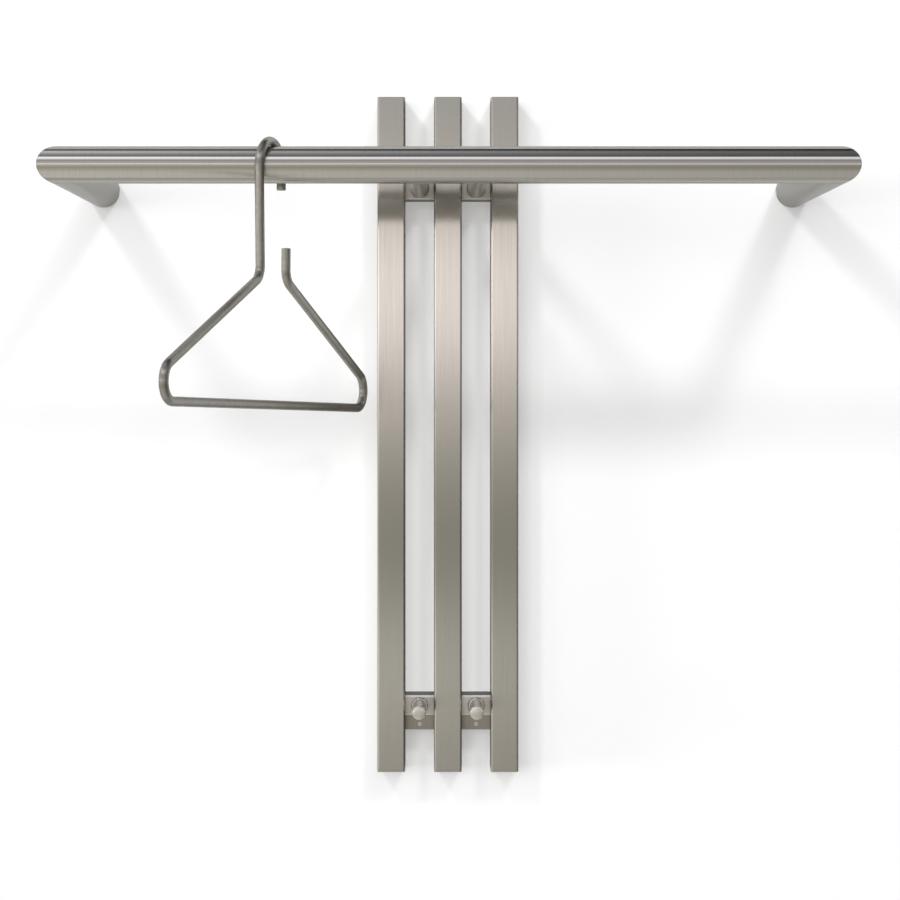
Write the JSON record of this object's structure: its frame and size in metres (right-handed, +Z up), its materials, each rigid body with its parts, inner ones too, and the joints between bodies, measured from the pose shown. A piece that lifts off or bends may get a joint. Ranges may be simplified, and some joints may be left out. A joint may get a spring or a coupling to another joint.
{
  "type": "wall coat rack",
  "caption": "Wall coat rack of upright bars, a long round rail on arms for hangers, small pegs below, and a bent-rod clothes hanger that slides along the rail.",
  "frame": {"origin": "on the wall plane, on the centre line, at the height of the rail's axis, on the back face of the upper wall strip", "axes": "+X to the right along the wall and the rail, +Y into the wall, +Z up"},
  "size_m": [0.66, 0.4692, 0.6075],
  "materials": {
    "satin_bar": "satin, brushed lengthwise",
    "satin_rail": "satin, brushed round the tube",
    "satin_block": "satin, brushed across",
    "turned_steel": "satin, turned",
    "satin_rod": "satin, brushed lengthwise",
    "screw_steel": "plain",
    "strip_steel": "mill finish",
    "plug_plastic": "moulded, matt"
  },
  "bodies": {
    "rack": {"bar_left": "satin_bar", "bar_left_top_cap": "satin_bar", "bar_left_bottom_cap": "satin_bar", "bar_middle": "satin_bar", "bar_middle_top_cap": "satin_bar", "bar_middle_bottom_cap": "satin_bar", "bar_right": "satin_bar", "bar_right_top_cap": "satin_bar", "bar_right_bottom_cap": "satin_bar", "hook_block_left": "satin_block", "standoff_block_left": "satin_block", "peg_block_left": "satin_block", "lock_block_left": "satin_block", "peg_left": "turned_steel", "rail_arm_left": "satin_rail", "arm_plug_left": "plug_plastic", "standoff_left": "satin_rail", "standoff_insert_left": "turned_steel", "hook_block_right": "satin_block", "standoff_block_right": "satin_block", "peg_block_right": "satin_block", "lock_block_right": "satin_block", "peg_right": "turned_steel", "rail_arm_right": "satin_rail", "arm_plug_right": "plug_plastic", "standoff_right": "satin_rail", "standoff_insert_right": "turned_steel", "rail_front": "satin_rail", "grub_screws": "screw_steel", "standoff_screws": "screw_steel", "wall_strip_upper": "strip_steel", "wall_strip_lower": "strip_steel"},
    "hanger": {"hanger": "satin_rod"}
  },
  "joints": [
    {"name": "hanger_slide", "type": "slide", "parent": "rack", "child": "hanger", "axis": [1, 0, 0], "range_m": [-0.155, 0.095]}
  ]
}
